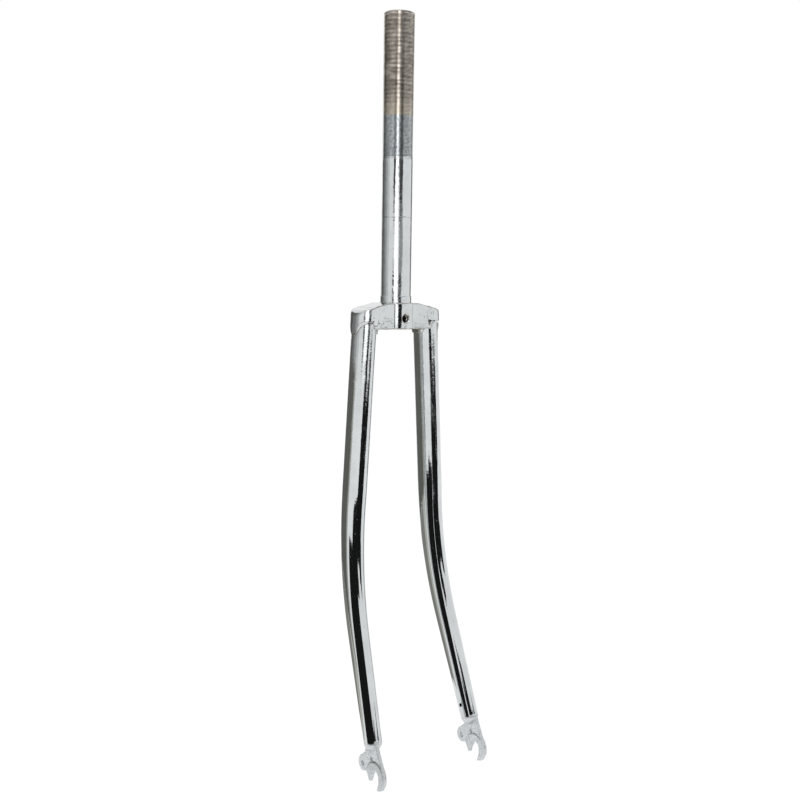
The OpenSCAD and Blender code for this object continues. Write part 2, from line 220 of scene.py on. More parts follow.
def make_piece(name, corners, faces, normals=None, bend=None, sharp_angle=40):
    """A mesh object from points in millimetres, smooth over all but its sharp edges.

    A net comes with its normals and its bend, which is kept on the mesh for the finish."""
    mesh = bpy.data.meshes.new(name)
    mesh.from_pydata((np.asarray(corners) * MM).tolist(), [], [list(map(int, f)) for f in faces])
    mesh.update()
    mesh.validate()
    mesh.shade_smooth()
    if normals is None:
        mesh.set_sharp_from_angle(angle=math.radians(sharp_angle))
    else:
        mesh.normals_split_custom_set_from_vertices(normals.tolist())
        kept = mesh.attributes.new("bend", "FLOAT", "POINT")
        kept.data.foreach_set("value", bend.astype(np.float32))
    piece = add_object(name, mesh)
    print(f"{name}: {len(mesh.vertices)} corners, {len(mesh.polygons)} faces")
    return piece


# %% [markdown]
# ## Tubes grown ring by ring
# The blades and the steerer are drawn tubes. The natural net for a tube is a
# row of rings with the same number of points, because its quads then follow the
# tube and mirror the room without ripples. A drilled hole breaks the rows, so a
# patch is left open there, and its edge is joined to a ring of the hole's size
# that lies on the same skin. A booleaned hole would leave slivers instead.

# %% A skin of rings that can be drilled
def on_net(places, u, v):
    """Point of a net of places at a row and a column that need not be whole."""
    k, i = int(u), int(v)
    low = places[k, i] * (1 - v + i) + places[k, i + 1] * (v - i)
    high = places[k + 1, i] * (1 - v + i) + places[k + 1, i + 1] * (v - i)
    return low * (1 - u + k) + high * (u - k)


class Skin:
    """Points and faces of a tube that grows by rings."""

    def __init__(self):
        self.points, self.faces = [], []

    def ring(self, places):
        """Adds points and gives their numbers."""
        first = len(self.points)
        self.points.extend(tuple(float(c) for c in place) for place in places)
        return list(range(first, len(self.points)))

    def band(self, low, high, leave=()):
        """Quads from one ring to the next, except in the columns to leave open."""
        n = len(low)
        for i in range(n):
            if i not in leave:
                j = (i + 1) % n
                self.faces.append([low[i], low[j], high[j], high[i]])

    def drill(self, outer, inner, first, last, centre, radius, bevel=0.15):
        """A round hole through two skins, in the patch left open between their rings."""
        columns = [i % len(outer[0]) for i in range(first, last + 1)]
        rows, width = len(outer) - 1, last - first
        edge = [(0, i) for i in range(width)] + [(k, width) for k in range(rows)]
        edge += [(rows, i) for i in range(width, 0, -1)] + [(k, 0) for k in range(rows, 0, -1)]
        skins = [np.array([[self.points[ring[c]] for c in columns] for ring in rings])
                 for rings in (outer, inner)]
        tall = np.linalg.norm(skins[0][1, 0] - skins[0][0, 0])
        wide = np.linalg.norm(skins[0][0, 1] - skins[0][0, 0])
        share = bevel / np.linalg.norm(skins[1][0, 0] - skins[0][0, 0])
        turns = [math.atan2((i - centre[1]) * wide, (k - centre[0]) * tall) for k, i in edge]
        loops = [[outer[k][columns[i]] for k, i in edge]]
        for r, deep in ((radius + bevel, 0), (radius, share), (radius, 1 - share), (radius + bevel, 1)):
            spots = [(centre[0] + r * math.cos(t) / tall, centre[1] + r * math.sin(t) / wide) for t in turns]
            loops.append(self.ring([
                (1 - deep) * on_net(skins[0], *p) + deep * on_net(skins[1], *p) for p in spots]))
        loops.append([inner[k][columns[i]] for k, i in edge])
        for one, two in zip(loops, loops[1:]):
            self.band(one, two)


# %% [markdown]
# ## Crown
# The crown is the heart of the fork. A thick boss holds the steerer, two arms
# slope down to the blades, and each blade ends in a socket whose lower edge is
# filed into tongues and thinned to a lip, so that the load leaves it gently.
# It is built from one half, and the other half is its mirror image.

# %% Roundings of the crown in millimetres
SHOULDER_EDGE_R, UNDER_EDGE_R, BOSS_EDGE_R = 1.3, 1.2, 0.7
CREASE_R, WAIST_R = 1.0, 0.5
SEAT_EDGE_R, SEAT_FOOT_R, SEAT_ROOT = 0.35, 0.15, 2.0
LIP_HEIGHT, LIP_THICK, LIP_JOIN_R, LIP_EDGE_R = 1.2, 0.9, 0.5, 0.18
MOUTH_EDGE_R, HOLE_EDGE_R, SOCKET_EDGE_R = 0.12, 0.15, 0.1
OUTER_TONGUE_POINT, INNER_TONGUE_SHARE = 1.2, 0.55


# %% Small shapes for the distance functions
def oval_distance(x, y, a, b):
    """Nearly the distance from an oval of half sizes a and b."""
    near = np.hypot(x / a, y / b)
    return near * (near - 1) / np.maximum(np.hypot(x / a ** 2, y / b ** 2), 1e-6)


def down_blade(x, y, z):
    """How far a point lies outside the middle of the left blade, and how far down it."""
    c, s = math.cos(SPLAY), math.sin(SPLAY)
    out = (y - SPACING / 2) * c + z * s
    depth = (y - SPACING / 2) * s - z * c
    return out, depth


def tongue_edge(x, outer):
    """Depth of the socket's edge below the race shoulder at a place x across it."""
    wave = (1 + np.cos(np.pi * np.minimum(1, np.abs(x) / LUG_A))) / 2
    outside = OUTER_TONGUE * wave ** OUTER_TONGUE_POINT
    t = np.clip((LUG_A - np.abs(x)) / (LUG_A * INNER_TONGUE_SHARE), 0, 1)
    inside = INNER_TONGUE * t * t * (3 - 2 * t)
    return LUG_PEAK + np.where(outer, outside, inside)


print("tongues end", [round(float(tongue_edge(0.0, outer)), 1) for outer in (True, False)], "mm down")


# %% Shoulder and socket of the crown
def shoulder_distance(y, z):
    """Front view of one half: the sloping shoulder and its rounded outer corner."""
    top = math.sin(SHOULDER_SLOPE) * (y - BOSS_R) + math.cos(SHOULDER_SLOPE) * z
    side = math.cos(SPLAY) * (y - LUG_OUT) + math.sin(SPLAY) * z
    return cut(np.maximum(top, z), side, SHOULDER_R)


def socket_distance(x, out, depth):
    """One blade socket with its tongues, thinned to a lip along their edge."""
    shell = oval_distance(x, out, LUG_A, LUG_B)
    near = np.maximum(np.hypot(x / LUG_A, out / LUG_B), 1e-6)
    across = x / near
    edge = tongue_edge(across, out > 0)
    step = 0.05
    slope = (tongue_edge(across + step, out > 0) - tongue_edge(across - step, out > 0)) / (2 * step)
    above = (edge - depth) / np.sqrt(1 + slope ** 2)
    thin = (LUG_WALL - LIP_THICK) / LIP_HEIGHT
    lip = (shell + (LUG_WALL - LIP_THICK) - thin * above) / math.hypot(1, thin)
    return cut(cut(shell, lip, LIP_JOIN_R), -above, LIP_EDGE_R)


# %% Outside of the crown
def crown_outside(x, y, z, out, depth):
    """Boss, arm and socket of one half with the race seat, before anything is bored."""
    round_r = np.hypot(x, y)
    shoulder = shoulder_distance(y, z)
    boss = cut(round_r - BOSS_R, z, BOSS_EDGE_R)
    arm = cut(cut(np.abs(x) - ARM_HALF, shoulder, SHOULDER_EDGE_R), y - SPACING / 2, 0.5)
    arm = cut(arm, -z - CROWN_DEPTH, UNDER_EDGE_R)
    boss = cut(boss, -z - CROWN_DEPTH, UNDER_EDGE_R)
    lug = cut(socket_distance(x, out, depth), shoulder, SHOULDER_EDGE_R)
    body = join(join(boss, arm, WAIST_R), lug, CREASE_R)
    seat = cut(round_r - SEAT_R, z - SEAT_H, SEAT_EDGE_R)
    return join(body, cut(seat, -z - SEAT_ROOT, 0.1), SEAT_FOOT_R)


# %% [markdown]
# The wall of the race seat is half a millimetre thick, which is thinner than two
# squares of the net and would pinch it. So its inner face leans into the wall of
# the steerer here, where nothing shows it.

# %% Distance function of the crown
TUCK, TUCK_LOW, TUCK_RISE = 0.55, -3.0, 1.5


def crown_distance(p):
    """The whole crown: one half and its mirror image, with all its holes."""
    x, y, z = p[:, 0], np.abs(p[:, 1]), p[:, 2]
    out, depth = down_blade(x, y, z)
    body = crown_outside(x, y, z, out, depth)
    bore = np.hypot(x, y) - (STEERER_R + GAP) + TUCK * np.clip((z - TUCK_LOW) / TUCK_RISE, 0, 1)
    body = cut(body, -bore, MOUTH_EDGE_R)
    socket = np.maximum(oval_distance(x, out, SOCKET_A, SOCKET_B), SOCKET_TOP - depth)
    body = cut(body, -socket, SOCKET_EDGE_R)
    hole = np.hypot(y, z + BRAKE_DROP)
    body = cut(body, BRAKE_R - hole, HOLE_EDGE_R)
    cone = (BRAKE_R - hole + (np.abs(x) - BOSS_R + 2 * BRAKE_BEVEL)) * math.sqrt(0.5)
    return cut(body, cone, 0.1)


# %% Make the crown
CROWN_BOX, CROWN_CELL = ((-16.2, -46.2, -29.2), (16.2, 46.2, 6.6)), 0.42
crown_net = net(crown_distance, *CROWN_BOX, CROWN_CELL)
crown = make_piece("crown", *crown_net, bend_of(crown_distance, crown_net[0]))
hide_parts("fork_crown")
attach(crown, "root")


# %% [markdown]
# ## Blades
# A blade starts as an oval tube at the crown, runs straight, then tapers to a
# round end while it bends forward, and its end is hammered over into a dome. It
# is a sweep: rings of points set square to the centre line, which is a straight
# run, an arc and a straight tail. A dense even net keeps the mirror reflections
# calm. The wall has an inner skin too, because the vent hole shows it.

# %% Centre line and oval of the blade
def blade_path(s):
    """Forward and downward place on the centre line at length s, and its tilt."""
    tilt = np.clip((s - BEND_START) / BEND_R, 0, TAIL)
    tail = np.maximum(s - BEND_START - BEND_LENGTH, 0)
    straight = np.minimum(s, BEND_START)
    x = BEND_R * (1 - np.cos(tilt)) + tail * math.sin(TAIL)
    run = straight + BEND_R * np.sin(tilt) + tail * math.cos(TAIL)
    return x, run, tilt


def blade_rings(lengths, half_a, half_b, side, around):
    """Rings of points round the centre line of one blade."""
    t = 2 * np.pi * np.arange(around) / around
    x, run, tilt = (v[:, None] for v in blade_path(lengths))
    a, b = half_a[:, None], half_b[:, None]
    px = x + a * np.cos(t) * np.cos(tilt)
    py = b * np.sin(t) + 0 * x
    pz = -run + a * np.cos(t) * np.sin(tilt)
    c, s = math.cos(side * SPLAY), math.sin(side * SPLAY)
    return np.stack([px, py * c - pz * s + side * SPACING / 2, py * s + pz * c], -1)


print(f"the centre line is {BLADE_END:.1f} mm long")


# %% Skins of a blade
AROUND, ROW, DOME_STEP = 96, 1.6, 6


def blade_size(s):
    """Half sizes of the oval at length s."""
    share = np.clip((s - TAPER_START) / (DOME_START - TAPER_START), 0, 1)
    return BLADE_A + (TIP_R - BLADE_A) * share, BLADE_B + (TIP_R - BLADE_B) * share


def blade_skin(side, wall):
    """Rings of one skin of a blade, the outer one or the one a wall further in."""
    straight = np.arange(SOCKET_TOP, DOME_START, ROW)
    a, b = blade_size(straight)
    turn = np.radians(np.arange(0, 90, DOME_STEP))
    tip = (TIP_R - wall) * np.cos(turn)
    lengths = np.concatenate([straight, DOME_START + (DOME_LENGTH - wall) * np.sin(turn)])
    half_a, half_b = (np.concatenate([size - wall, tip]) for size in (a, b))
    end = blade_rings(np.array([BLADE_END - wall]), np.zeros(1), np.zeros(1), side, 1)
    return blade_rings(lengths, half_a, half_b, side, AROUND), end[0, 0]


# %% [markdown]
# Each blade has a small vent hole on its inner side, which lets hot gas out while
# the tube is brazed. A patch of the net is left open round it and drilled.

# %% Make the two blades
PATCH_ROWS, PATCH_COLUMNS = 4, 10


def make_blade(name, side):
    """One blade: two skins, the vent hole between them, an open top and a dome."""
    skin = Skin()
    outer, outer_tip = blade_skin(side, 0)
    inner, inner_tip = blade_skin(side, BLADE_WALL)
    outside, inside = [skin.ring(r) for r in outer], [skin.ring(r) for r in inner]
    vent = BLADE_END + END_GAP - VENT_RISE
    row_at = (vent - SOCKET_TOP) / ROW
    column_at = math.acos(VENT_AHEAD / blade_size(vent)[0]) / (2 * math.pi) * AROUND
    column_at = column_at if side == RIGHT else AROUND - column_at
    top, start = round(row_at) - PATCH_ROWS // 2, round(column_at) - PATCH_COLUMNS // 2
    bottom, end = top + PATCH_ROWS, start + PATCH_COLUMNS
    for k in range(len(outside) - 1):
        leave = range(start, end) if top <= k < bottom else ()
        skin.band(outside[k], outside[k + 1], leave)
        skin.band(inside[k + 1], inside[k], leave)
    rows = slice(top, bottom + 1)
    skin.drill(outside[rows], inside[rows], start, end, (row_at - top, column_at - start), VENT_R)
    skin.band(inside[0], outside[0])
    for ring, tip, turned in ((outside[-1], outer_tip, 1), (inside[-1], inner_tip, -1)):
        tip = skin.ring([tip])[0]
        skin.faces += [[ring[i], ring[(i + 1) % AROUND], tip][::turned] for i in range(AROUND)]
    return make_piece(name, skin.points, [face[::-1] for face in skin.faces])


for side, node in ((RIGHT, "right_blade"), (LEFT, "left_blade")):
    blade = make_blade(node + "_tube", side)
    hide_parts(node)
    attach(blade, "root")


# %% [markdown]
# ## Dropouts
# A dropout is a forged plate: its tab sits in the slotted end of the blade, a
# raised pad takes the wheel nut, the open slot takes the axle, and behind it an
# eyelet holds the mudguard stay. Every edge is soft from the forging die.

# %% Distances in the flat
def circle(px, py, c, r):
    """Distance from a circle, negative inside it."""
    return np.hypot(px - c[0], py - c[1]) - r


def segment_distance(px, py, a, b):
    """Distance from the straight line between two points."""
    dx, dy = b[0] - a[0], b[1] - a[1]
    t = np.clip(((px - a[0]) * dx + (py - a[1]) * dy) / (dx * dx + dy * dy), 0, 1)
    return np.hypot(px - a[0] - t * dx, py - a[1] - t * dy)


def polygon_distance(px, py, corners):
    """Distance from a closed outline, negative inside it."""
    near = np.full(px.shape, 1e9)
    inside = np.zeros(px.shape, bool)
    for a, b in zip(corners, corners[1:] + corners[:1]):
        near = np.minimum(near, segment_distance(px, py, a, b))
        crosses = (a[1] > py) != (b[1] > py)
        at = a[0] + (py - a[1]) * (b[0] - a[0]) / ((b[1] - a[1]) or 1e-9)
        inside ^= crosses & (px < at)
    return np.where(inside, -near, near)


# %% Points of the flat outline
AXLE = (0, 0)
TAB_HALF, TAB_NARROWS = TIP_R - GAP, 2.5
TAB_TOP, TAB_FOOT = END_GAP + TAB_DEPTH, END_GAP * 1.22


def around(c, r, angle):
    """Point on a circle."""
    return (c[0] + r * math.cos(angle), c[1] + r * math.sin(angle))


def touch(p, c, r, turn):
    """Where a line from the point p runs into a circle, on one side or the other."""
    d = (c[0] - p[0], c[1] - p[1])
    return around(c, r, math.atan2(-d[1], -d[0]) + turn * math.acos(r / math.hypot(*d)))


def tab_point(up, ahead):
    """Point by its place along the slanted end of the blade, from the axle."""
    c, s = math.cos(TAIL), math.sin(TAIL)
    return (ahead * c - up * s, up * c + ahead * s)


FRONT, BACK = (tab_point(TAB_FOOT, TAIL_LEAD + half) for half in (TAB_HALF, -TAB_HALF))
NECK = (EYELET[0] * 0.86, END_GAP * 0.78)
CROTCH = (EYELET[0] * 0.7, TONGUE[1] * 0.1)
OUTLINE = [
    tab_point(TAB_TOP, TAIL_LEAD + TAB_HALF - TAB_NARROWS), FRONT, touch(FRONT, AXLE, RIM_R, -1), AXLE,
    TONGUE, touch(CROTCH, TONGUE, TONGUE_R, 1), CROTCH, EYELET, touch(NECK, EYELET, LOBE_R, 1),
    NECK, BACK, tab_point(TAB_TOP, TAIL_LEAD - TAB_HALF + TAB_NARROWS),
]
HOOK_OPEN, HOOK_ALONG = math.acos((RIM_R - HOOK_R) / math.hypot(*HOOK)), math.atan2(HOOK[1], HOOK[0])
HOOK_BAND = [around(c, r, HOOK_ALONG + side * HOOK_OPEN) for c, r, side in (
    (AXLE, RIM_R, 1), (HOOK, HOOK_R, 1), (HOOK, HOOK_R, -1), (AXLE, RIM_R, -1))]
print(len(OUTLINE), "corners in the outline of a dropout")


# %% Outline with its slot
LOBE_FILLET, TONGUE_FILLET, RIM_FILLET, SLOT_EDGE_R = 1.5, 0.5, 1.0, 0.6


def slot_distance(px, py):
    """The axle slot: a round top, a straight front wall and a mouth that leans back."""
    half = SLOT_W / 2
    d = polygon_distance(px, py, [AXLE, (0, -SLOT_DEPTH), (half, -SLOT_DEPTH), (half, 0)])
    c, s = math.cos(SLOT_LEAN), math.sin(SLOT_LEAN)
    for drop in (0, -SLOT_DEPTH):
        qx, qy = px * c - (py - drop) * s, px * s + (py - drop) * c
        d = np.minimum(d, circle(px, py, (0, drop), half))
        d = np.minimum(d, np.maximum(np.abs(qx) - half, qy))
    return d


def outline_distance(px, py):
    """The whole flat outline: plate, eyelet, tongue, rim and hook, less the slot."""
    d = polygon_distance(px, py, OUTLINE)
    d = join(d, circle(px, py, EYELET, LOBE_R), LOBE_FILLET)
    d = join(d, circle(px, py, TONGUE, TONGUE_R), TONGUE_FILLET)
    d = join(d, np.maximum(circle(px, py, AXLE, RIM_R), -px), RIM_FILLET)
    d = np.minimum(d, np.minimum(circle(px, py, HOOK, HOOK_R), polygon_distance(px, py, HOOK_BAND)))
    return cut(d, -slot_distance(px, py), SLOT_EDGE_R)


# %% [markdown]
# Where the plate enters the blade, the brazing leaves a soft run of metal. To get
# it, the plate is joined to the dome of the blade, which is drawn a hair too
# small here, so that it stays inside the blade.

# %% Distance function of the dropout
PLATE_EDGE_R, PAD_EDGE_R, PAD_END_R, PAD_FOOT_R = 0.55, 0.9, 0.3, 1.4
DOME_FOOT_R, DRILL_EDGE_R = 1.1, 0.3
DOME_SHRINK, DOME_REACH = 0.08, 1.5


def dome_distance(x, out, z):
    """The closed end of the blade round the tab, a hair inside its true surface."""
    across, depth = down_blade(x, out + HUB_HALF + PLATE_T / 2, z - AXLE_DROP)
    ahead = x * math.cos(TAIL) - (depth - AXLE_RUN) * math.sin(TAIL) - TAIL_LEAD
    up = -x * math.sin(TAIL) - (depth - AXLE_RUN) * math.cos(TAIL)
    below = np.minimum(up - END_GAP - DOME_LENGTH, 0)
    r, length = TIP_R - DOME_SHRINK, DOME_LENGTH - DOME_SHRINK
    near = np.sqrt((ahead / r) ** 2 + (across / r) ** 2 + (below / length) ** 2)
    return np.maximum((near - 1) * r * 0.95, up - END_GAP - DOME_LENGTH - DOME_REACH)


def dropout_distance(p):
    """The right dropout, with y counted outward from the middle of its plate."""
    x, out, z = p[:, 0], p[:, 1], p[:, 2]
    flat = outline_distance(x, z)
    plate = cut(flat, np.abs(out) - PLATE_T / 2, PLATE_EDGE_R)
    pad_height = np.abs(out - PAD_STEP / 2) - PLATE_T / 2 - PAD_STEP / 2
    pad = cut(np.maximum(flat, circle(x, z, AXLE, PAD_R)), pad_height, PAD_EDGE_R)
    pad = cut(pad, -np.maximum(x, z), PAD_END_R)
    metal = join(plate, pad, PAD_FOOT_R)
    metal = join(metal, dome_distance(x, out, z), DOME_FOOT_R)
    tab_hole = around(AXLE, TAB_HOLE_REACH, math.pi / 2 + TAB_HOLE_LEAN)
    for middle, radius in ((EYELET, EYELET_R), (tab_hole, TAB_HOLE_R)):
        metal = cut(metal, -circle(x, z, middle, radius), DRILL_EDGE_R)
    return metal


# %% Make the two dropouts
# The box avoids round numbers, so that no point of its grid lies right on a hole's edge.
DROPOUT_BOX, DROPOUT_CELL = ((-26.29, -9.89, -12.86), (14.2, 8.4, 34.2)), 0.3
dropout_net = net(dropout_distance, *DROPOUT_BOX, DROPOUT_CELL)
dropout_bend = bend_of(dropout_distance, dropout_net[0])
for side, node in ((RIGHT, "right_dropout"), (LEFT, "left_dropout")):
    corners, quads, normals = dropout_net
    place = np.array([RAKE, side * (HUB_HALF + PLATE_T / 2), -AXLE_DROP])
    flip = np.array([1, side, 1])
    order = quads if side == LEFT else quads[:, ::-1]
    plate = make_piece(node + "_plate", corners * flip + place, order, normals * flip, dropout_bend)
    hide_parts(node)
    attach(plate, "root")


# %% [markdown]
# ## Steerer
# The steerer is a plain tube with a fine thread of 24 turns to the inch cut
# along its upper half, and a keyway milled down the back of the thread for the
# tab of the headset's washer. A thread is a ridge wound round the tube, so its
# net is wound too: four lines of points, the two edges of the crest and of the
# root, run up the tube as one long spiral. Rings could not follow it.

# %% Columns of the net round the steerer
TURN, EASE = 96, 0.15
KEY_SWING, KEY_NUDGE = math.asin(KEYWAY_W / 2 / STEERER_R), 0.004


def steerer_point(i, r, z, keyed):
    """A point of column i, on the floor of the keyway where the column runs in it."""
    off = (i + TURN // 2) % TURN - TURN // 2
    swing = off * 2 * math.pi / TURN
    back = i % TURN - TURN // 2
    if keyed and abs(back) <= 2:
        nudge = KEY_NUDGE if abs(back) == 2 else -KEY_NUDGE
        swing = math.pi + (math.copysign(KEY_SWING + nudge, back) if back else 0)
        if abs(back) < 2:
            r = min(r, (STEERER_R - KEYWAY_DEPTH) / abs(math.cos(swing)))
    return r * math.cos(swing), r * math.sin(swing), z


# %% Wind the thread
PITCH = 25.4 / 24
THREAD_DEPTH = 0.55
THREAD_PROFILE = ((0.0, 0.0), (0.26, 0.0), (0.58, 1.0), (0.68, 1.0))
THREAD_LOW, THREAD_HIGH = THREAD_FOOT + EASE, STEERER_TOP - RIM_BEVEL - 0.1
FADE = 0.6 * TURN


def wind_thread(skin, low, high):
    """The spiral between the ring under the thread and the ring over it."""
    lines = len(THREAD_PROFILE)
    last = (int((THREAD_HIGH - THREAD_LOW) / PITCH) - 1) * TURN
    first = len(skin.points)
    for i in range(last + TURN + 1):
        fade = max(0, min(1, i / FADE, (last - i) / FADE))
        lift = THREAD_LOW + PITCH * i / TURN
        skin.ring([steerer_point(i, STEERER_R - THREAD_DEPTH * deep * fade, lift + along * PITCH, True)
                   for along, deep in (THREAD_PROFILE if i <= last else THREAD_PROFILE[:1])])

    def corner(i, k=0):
        if k == lines:
            i, k = i + TURN, 0
        return first + i * lines + k if i <= last else first + last * lines + lines - 1 + i - last

    for i in range(last):
        for k in range(lines):
            skin.faces.append([corner(i, k), corner(i + 1, k), corner(i + 1, k + 1), corner(i, k + 1)])
    for i in range(TURN - 1):
        skin.faces.append([low[i], low[i + 1], corner(i + 1), corner(i)])
        skin.faces.append([corner(last + 1 + i), corner(last + 2 + i), high[(i + 2) % TURN], high[i + 1]])
    skin.faces.append([low[-1], low[0], *(corner(0, k) for k in range(lines + 1)), corner(TURN - 1)])
    skin.faces.append([corner(last), corner(last + 1), high[1], high[0],
                       *(corner(last, k) for k in range(lines, 0, -1))])
    print(f"thread of {last // TURN} turns, {THREAD_DEPTH} mm deep")


# %% [markdown]
# The steerer grows as one skin: up its outside and the thread, across the rim and
# down the bore, whose wall thickens at the foot. A patch is left open in front
# and behind for the bolt hole.

# %% Grow the steerer
FOOT_LIFTS = np.linspace(-CROWN_DEPTH, THREAD_FOOT - RUNOUT_W, 60)
PATCH_HALF_HEIGHT, PATCH_HALF_WIDTH = 4.7, 6


def steerer_skin():
    """The whole skin of the steerer, inside and out."""
    skin = Skin()

    def ring(r, z, keyed=False):
        return skin.ring([steerer_point(i, r, z, keyed) for i in range(TURN)])

    outside = [ring(STEERER_R, z) for z in FOOT_LIFTS]
    bottom, top = (int(np.searchsorted(FOOT_LIFTS, -BRAKE_DROP + h))
                   for h in (-PATCH_HALF_HEIGHT, PATCH_HALF_HEIGHT))
    holes = [(middle - PATCH_HALF_WIDTH, middle + PATCH_HALF_WIDTH) for middle in (0, TURN // 2)]
    open_columns = {i % TURN for a, b in holes for i in range(a, b)}

    def leave(k):
        return open_columns if bottom <= k < top else ()

    for k in range(len(outside) - 1):
        skin.band(outside[k], outside[k + 1], leave(k))
    floor_r = STEERER_R - RUNOUT_DEPTH
    groove = [outside[-1]] + [ring(r, THREAD_FOOT + z) for r, z in (
        (floor_r, EASE - RUNOUT_W), (floor_r, -EASE), (STEERER_R - 0.02, 0))]
    rim = ring(STEERER_R, STEERER_TOP - RIM_BEVEL, True)
    wind_thread(skin, groove[-1], rim)
    down = [rim, ring(STEERER_R - RIM_BEVEL, STEERER_TOP, True)]
    down += [ring(BORE_R + r, STEERER_TOP - z) for r, z in ((EASE, 0), (0, EASE))]
    down += [ring(BORE_R, z) for z in np.linspace(STEERER_TOP - 5, BUTT_RISE + BUTT_TAPER, 20)]
    down.append(ring(FOOT_BORE_R, BUTT_RISE))
    low_part = [k for k, z in enumerate(FOOT_LIFTS) if z < BUTT_RISE - 1]
    inside = [ring(FOOT_BORE_R, FOOT_LIFTS[k]) for k in low_part]
    down.append(inside[-1])
    for rings in (groove, down):
        for low, high in zip(rings, rings[1:]):
            skin.band(low, high)
    for k in low_part[:-1]:
        skin.band(inside[k + 1], inside[k], leave(k))
    skin.band(inside[0], outside[0])
    row_at = (-BRAKE_DROP - FOOT_LIFTS[bottom]) / (FOOT_LIFTS[1] - FOOT_LIFTS[0])
    for a, b in holes:
        skin.drill(outside[bottom:top + 1], inside[bottom:top + 1], a, b, (row_at, PATCH_HALF_WIDTH), BRAKE_R)
    return skin


tube = steerer_skin()
steerer = make_piece("steerer", tube.points, tube.faces, sharp_angle=50)
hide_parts("steerer_tube")
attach(steerer, "root")

# %% [markdown]
# ## Writing finishes
# A finish is a net of shader nodes. Long nets are hard to read, so here they
# are written as sums. A Wire is one value on its way through the net, and the
# usual signs join wires with Math nodes. Every other kind of node comes from
# one call that names its type, its settings and what its sockets get.

# %% Wires that can be added and multiplied
class Wire:
    """One output of a node, which can stand in a sum."""

    def __init__(self, paint, socket):
        self.paint, self.socket = paint, socket

    def sum(self, operation, first, second):
        """A Math node on two wires or numbers."""
        return self.paint.node("ShaderNodeMath", {"operation": operation}, {0: first, 1: second})

    def __add__(self, other):
        return self.sum("ADD", self, other)

    def __sub__(self, other):
        return self.sum("SUBTRACT", self, other)

    def __rsub__(self, other):
        return self.sum("SUBTRACT", other, self)

    def __mul__(self, other):
        return self.sum("MULTIPLY", self, other)

    __radd__, __rmul__ = __add__, __mul__

    def most(self, other):
        """The larger of two wires."""
        return self.sum("MAXIMUM", self, other)


# %% A material that is written step by step
class Paint:
    """One material or world and the calls that add nodes to it."""

    def __init__(self, name, owner=None):
        self.owner = owner or bpy.data.materials.new(name)
        self.owner.use_nodes = True
        self.tree = self.owner.node_tree
        self.tree.nodes.clear()

    def node(self, kind, settings=None, sockets=None, output=0):
        """Adds a node: settings first, then the values or wires of its sockets."""
        made = self.tree.nodes.new(kind)
        for key, value in (settings or {}).items():
            setattr(made, key, value)
        for key, value in (sockets or {}).items():
            if isinstance(value, Wire):
                self.tree.links.new(value.socket, made.inputs[key])
            else:
                made.inputs[key].default_value = value
        return Wire(self, made.outputs[output])

    def place(self, axes):
        """Place on the object in millimetres, as one wire for each axis that is named."""
        spot = self.node("ShaderNodeTexCoord", output="Object")
        scaled = self.node("ShaderNodeVectorMath", {"operation": "SCALE"}, {0: spot, "Scale": 1 / MM})
        return [self.node("ShaderNodeSeparateXYZ", {}, {0: scaled}, output=axis) for axis in axes]

    def noise(self, size, detail=2.0, rough=0.5, squash=(1, 1, 1), shift=0.0):
        """Cloudy values round one half, with lumps of the given size in millimetres."""
        spot = self.node("ShaderNodeTexCoord", output="Object")
        spot = self.node("ShaderNodeMapping", {}, {
            0: spot, "Location": (shift,) * 3, "Scale": squash})
        return self.node("ShaderNodeTexNoise", {}, {
            "Vector": spot, "Scale": 1 / (size * MM), "Detail": detail, "Roughness": rough})

    def ramp(self, value, low, high, start=0.0, end=1.0):
        """Runs smoothly from start to end while the value goes from low to high."""
        return self.node("ShaderNodeMapRange", {"interpolation_type": "SMOOTHSTEP"}, {
            0: value, 1: low, 2: high, 3: start, 4: end})

    def blend(self, share, first, second):
        """Colour between two colours."""
        first, second = ((*c, 1) if isinstance(c, tuple) else c for c in (first, second))
        return self.node("ShaderNodeMix", {"data_type": "RGBA"}, {0: share, 6: first, 7: second}, output=2)

    def metal(self, colour, roughness, height):
        """The metal shader with its bump, whose height is given in millimetres."""
        bump = self.node("ShaderNodeBump", {}, {"Height": height, "Strength": 1.0, "Distance": MM})
        self.node_output(self.node("ShaderNodeBsdfPrincipled", {}, {
            "Base Color": colour, "Roughness": roughness, "Metallic": 1.0, "Normal": bump}))

    def node_output(self, shader, kind="ShaderNodeOutputMaterial"):
        """Ends the net with its output node."""
        made = self.tree.nodes.new(kind)
        self.tree.links.new(shader.socket, made.inputs["Surface"])


# %% [markdown]
# ## Chrome
# Bright chrome is a thin hard plating over nickel. It has no colour of its own
# beyond a cool grey, and what the eye reads as quality is how it bends what it
# mirrors. This plating is a workshop's and not a jeweller's: the steel under it
# was filed and only lightly polished, so it has a fine orange peel, slow waves
# left by the polishing belt, and pits. The peel is strongest near the crown,
# where the brazing was cleaned up by hand.

# %% Chrome as three wires
CHROME_PALE, CHROME_DEEP = (0.64, 0.665, 0.675), (0.585, 0.605, 0.615)
PIT_BROWN, PIT_SPACING = (0.16, 0.15, 0.14), 2.6


